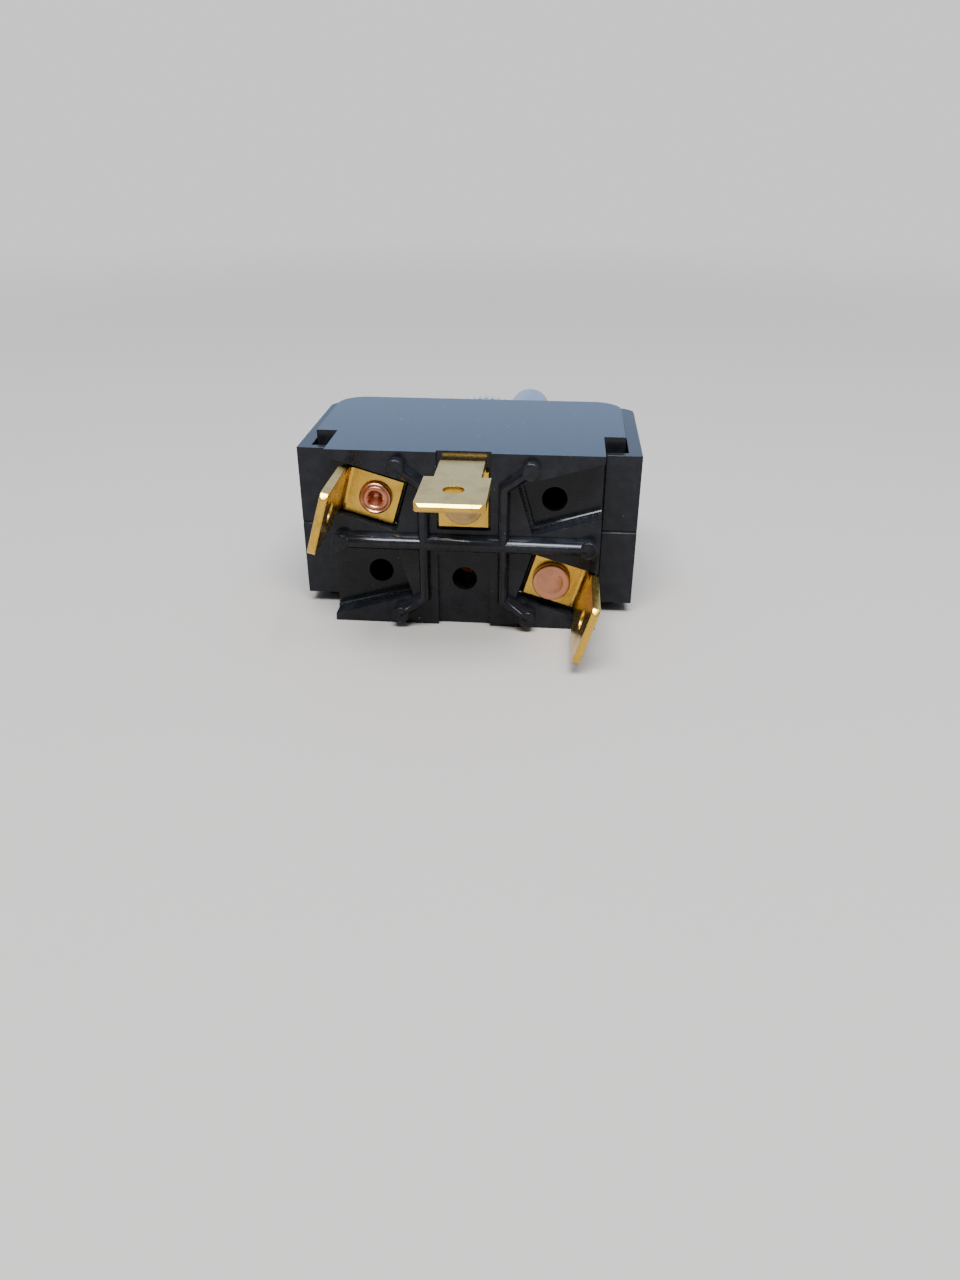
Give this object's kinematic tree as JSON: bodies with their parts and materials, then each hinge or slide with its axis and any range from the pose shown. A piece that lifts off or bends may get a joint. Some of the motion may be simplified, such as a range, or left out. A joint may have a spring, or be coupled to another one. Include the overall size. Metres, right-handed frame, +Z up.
{
  "type": "toggle switch",
  "caption": "Enclosed black moulded toggle switch with riveted blade terminals at the rear and a threaded bushing with a metal bat lever at the front.",
  "frame": {"origin": "middle of the bounding box on the plane it rests on, the switch lying on its long side", "axes": "+X along the body's long side, +Y from the rear terminals to the lever, +Z up across the terminal rows"},
  "size_m": [0.0358, 0.0682, 0.019],
  "materials": {
    "moulding": "black phenolic, satin gloss",
    "coated_steel": "black oxide and paint",
    "plated_steel": "bright zinc or nickel plate",
    "satin_nickel": "satin nickel plate",
    "brass": "stamped brass sheet",
    "copper": "bare copper",
    "bronze": "brushed bronze",
    "silver": "silver contact alloy",
    "nylon": "natural nylon",
    "insulating_paper": "vulcanised fibre"
  },
  "bodies": {
    "housing": {"terminal_base": "moulding", "mounting_frame": "coated_steel", "insulator_sheet": "insulating_paper", "bushing": "plated_steel", "lever_pivot_pin": "plated_steel", "locating_washer": "plated_steel", "lock_washer": "plated_steel", "fixed_strip_left": "copper", "fixed_strip_right": "copper", "fixed_contact_left": "silver", "fixed_contact_right": "silver", "fulcrum_bracket": "brass", "terminal_left": "brass", "terminal_centre": "brass", "terminal_right": "brass", "rivet_left": "copper", "rivet_centre": "bronze", "rivet_right": "copper"},
    "lever": {"toggle_lever": "satin_nickel", "plunger_spring": "plated_steel"},
    "plunger": {"plunger": "nylon"},
    "rocker": {"contact_rocker": "copper", "moving_contact_left": "silver", "moving_contact_right": "silver"},
    "hex_nut": {"hex_nut": "plated_steel"},
    "face_nut": {"face_nut": "plated_steel"}
  },
  "joints": [
    {"name": "lever_tilt", "type": "hinge", "parent": "housing", "child": "lever", "pos_m": [0, 0.00371, 0.0095], "axis": [0, 0, 1], "range_deg": [0, 20]},
    {"name": "rocker_rock", "type": "hinge", "parent": "housing", "child": "rocker", "pos_m": [0, -0.01402, 0.0095], "axis": [0, 0, 1], "range_deg": [-16, 0]},
    {"name": "plunger_slide", "type": "slide", "parent": "lever", "child": "plunger", "axis": [0.1736, 0.9848, 0], "range_m": [0, 0.0006], "stiffness_N_per_m": 1500, "springref_m": -0.002, "deforming": ["plunger_spring"]},
    {"name": "hex_nut_turn", "type": "hinge", "parent": "housing", "child": "hex_nut", "pos_m": [0, 0.00441, 0.0095], "axis": [0, 1, 0], "continuous": true},
    {"name": "face_nut_turn", "type": "hinge", "parent": "housing", "child": "face_nut", "pos_m": [0, 0.00861, 0.0095], "axis": [0, 1, 0], "continuous": true}
  ],
  "couplings": [
    {"joint": "rocker_rock", "follows": "lever_tilt", "ratio": -0.8}
  ]
}
